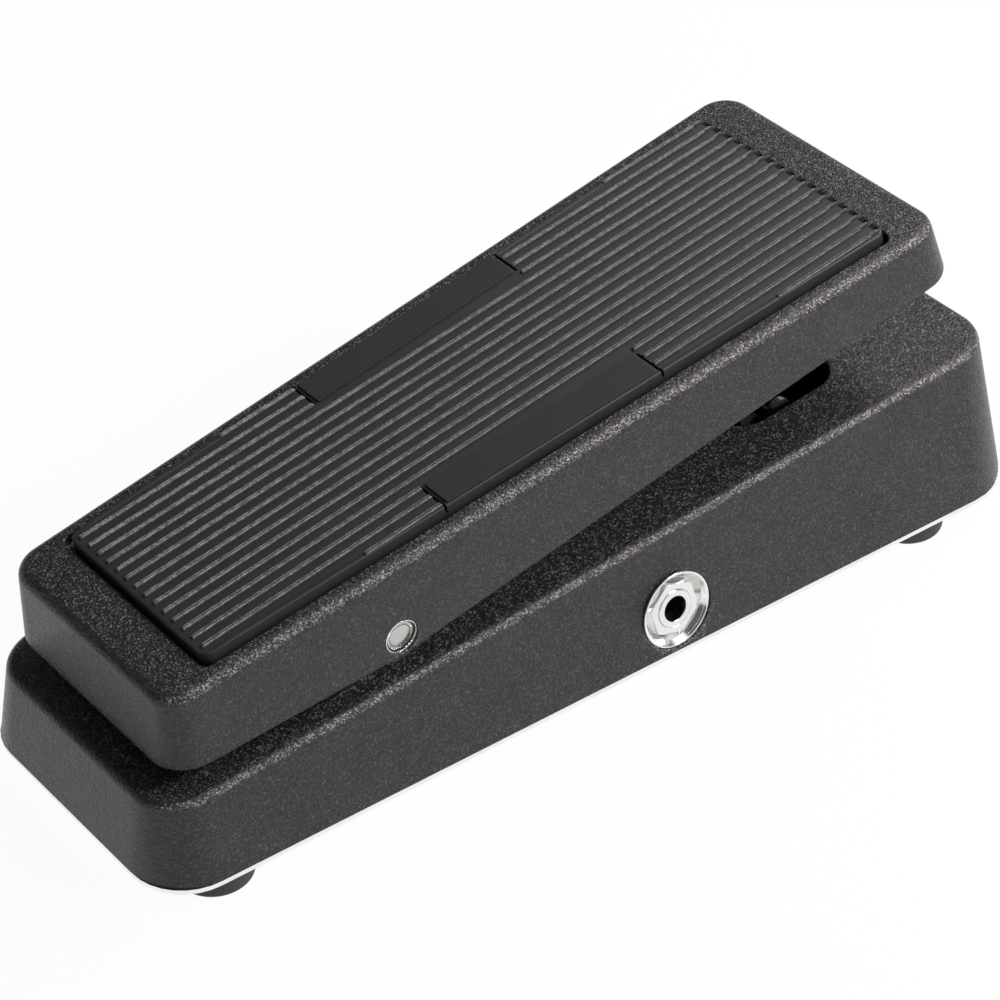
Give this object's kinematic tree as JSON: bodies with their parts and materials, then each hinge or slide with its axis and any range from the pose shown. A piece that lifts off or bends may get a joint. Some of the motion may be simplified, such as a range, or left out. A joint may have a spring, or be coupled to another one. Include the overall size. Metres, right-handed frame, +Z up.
{
  "type": "volume pedal",
  "caption": "Rocker pedal: a cast treadle with a ridged pad rocks on a wedge housing, where a rack and pinion turn a potentiometer between two jacks.",
  "frame": {"origin": "middle of the housing's footprint, on the ground under the feet", "axes": "+Y towards the toe end, +Z up, +X to the right of a foot on the treadle"},
  "size_m": [0.0998, 0.254, 0.0866],
  "materials": {
    "casting_paint": "charcoal powder coat with a fine wrinkle",
    "zinc_plate": "zinc-plated sheet steel",
    "foot_rubber": "moulded rubber, matt",
    "plated_steel": "zinc-plated steel",
    "nylon": "natural nylon",
    "pad_rubber": "black moulded rubber with a low sheen",
    "rod_steel": "bright steel",
    "spring_steel": "blackened spring steel",
    "pot_can": "pressed and plated can",
    "tinned_brass": "tinned brass",
    "jack_plastic": "black moulded plastic",
    "jack_chrome": "bright nickel plate",
    "wire_jacket": "stranded wire with a plastic jacket"
  },
  "bodies": {
    "base": {"base_housing": "casting_paint", "bottom_plate": "zinc_plate", "rubber_feet": "foot_rubber", "foot_screws": "plated_steel", "heel_bumper": "foot_rubber", "toe_bumper": "foot_rubber", "pivot_bushings": "nylon", "pot_body": "pot_can", "pot_lugs": "tinned_brass", "pot_washer": "plated_steel", "pot_nut": "plated_steel", "pot_bracket": "zinc_plate", "bracket_screws": "plated_steel", "rack_guide": "nylon", "rack_guide_screw": "plated_steel", "input_jack_frame": "jack_plastic", "input_jack_contacts": "tinned_brass", "input_jack_washer": "plated_steel", "input_jack_ferrule": "jack_chrome", "input_jack_nut": "jack_chrome", "output_jack_frame": "jack_plastic", "output_jack_contacts": "tinned_brass", "output_jack_washer": "plated_steel", "output_jack_ferrule": "jack_chrome", "output_jack_nut": "jack_chrome", "signal_wires": "wire_jacket"},
    "treadle": {"treadle": "casting_paint", "tread_pad": "pad_rubber", "pivot_rod": "rod_steel", "rack_pin": "plated_steel", "rack_pin_clip": "spring_steel"},
    "rack": {"rack": "nylon"},
    "pinion": {"pinion": "nylon", "pinion_set_screw": "spring_steel", "pot_shaft": "rod_steel"}
  },
  "joints": [
    {"name": "treadle_rock", "type": "hinge", "parent": "base", "child": "treadle", "pos_m": [0, -0.0576, 0.04286], "axis": [-1, 0, 0], "range_deg": [0, 8.5]},
    {"name": "rack_swing", "type": "hinge", "parent": "treadle", "child": "rack", "pos_m": [0.016, 0.06013, 0.06684], "axis": [1, 0, 0], "range_deg": [0, 4.1]},
    {"name": "pinion_turn", "type": "hinge", "parent": "base", "child": "pinion", "pos_m": [0.016, 0.06793, 0.028], "axis": [1, 0, 0], "range_deg": [0, 156]}
  ],
  "couplings": [
    {"joint": "rack_swing", "follows": "treadle_rock", "ratio": 0.475},
    {"joint": "pinion_turn", "follows": "treadle_rock", "ratio": 18.3}
  ]
}
